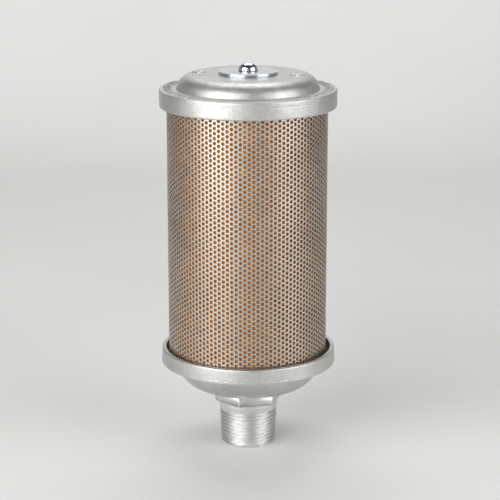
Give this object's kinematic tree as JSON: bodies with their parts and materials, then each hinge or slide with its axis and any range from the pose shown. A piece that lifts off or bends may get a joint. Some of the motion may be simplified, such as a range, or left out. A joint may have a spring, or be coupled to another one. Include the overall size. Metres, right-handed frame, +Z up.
{
  "type": "pneumatic muffler",
  "caption": "Pneumatic exhaust muffler: felt element in a perforated metal shell between a cast base with a pipe-thread nipple and a domed cast cap, held by one long tie bolt.",
  "frame": {"origin": "on the axis, at the nipple's end face", "axes": "+Z up along the axis from the nipple to the cap, +X to the right and -Y to the front of the part as it stands"},
  "size_m": [0.1016, 0.1016, 0.2269],
  "materials": {
    "cast_aluminium": "fine-grained cast, satin; nipple machined",
    "zinc_steel": "zinc-plated sheet and hardware, satin",
    "bright_zinc": "bright zinc plate, glossy with a blue cast",
    "resin_felt": "resin-bonded fibre, matt orange-brown",
    "white_felt": "soft felt, matt",
    "steel_screen": "woven wire",
    "fibre_gasket": "compressed fibre sheet, matt"
  },
  "bodies": {
    "base": {"base_casting": "cast_aluminium", "pipe_nipple": "cast_aluminium", "base_seat_gasket": "fibre_gasket", "element_bottom_gasket": "fibre_gasket"},
    "element": {"element_bottom_disc": "zinc_steel", "core_tube": "zinc_steel", "inner_felt": "white_felt", "support_screen": "steel_screen", "outer_media": "resin_felt", "element_top_disc": "zinc_steel"},
    "shell": {"perforated_shell": "zinc_steel"},
    "cap": {"top_cap": "cast_aluminium", "cap_locator": "zinc_steel", "cap_rivet_left": "bright_zinc", "cap_rivet_right": "bright_zinc", "cap_seat_gasket": "fibre_gasket", "element_top_gasket": "fibre_gasket"},
    "bolt": {"tie_bolt": "bright_zinc", "top_washer": "bright_zinc", "seal_washer": "fibre_gasket"},
    "washer_under_hub": {"nut_washer": "zinc_steel"},
    "nut": {"lock_nut": "zinc_steel"}
  },
  "joints": [
    {"name": "element_lift", "type": "slide", "parent": "base", "child": "element", "axis": [0, 0, 1], "range_m": [0, 0.03]},
    {"name": "shell_lift", "type": "slide", "parent": "element", "child": "shell", "axis": [0, 0, 1], "range_m": [0, 0.16]},
    {"name": "cap_lift", "type": "slide", "parent": "shell", "child": "cap", "axis": [0, 0, 1], "range_m": [0, 0.04]},
    {"name": "bolt_draw", "type": "slide", "parent": "cap", "child": "bolt", "axis": [0, 0, 1], "range_m": [0, 0.21]},
    {"name": "nut_drop", "type": "slide", "parent": "base", "child": "washer_under_hub", "axis": [0, 0, -1], "range_m": [0, 0.0085]},
    {"name": "nut_turn", "type": "hinge", "parent": "washer_under_hub", "child": "nut", "pos_m": [0, 0, 0.029], "axis": [0, 0, -1], "range_deg": [0, 2340]}
  ],
  "couplings": [
    {"joint": "nut_drop", "follows": "nut_turn", "m_per_rad": 0.00020213}
  ]
}
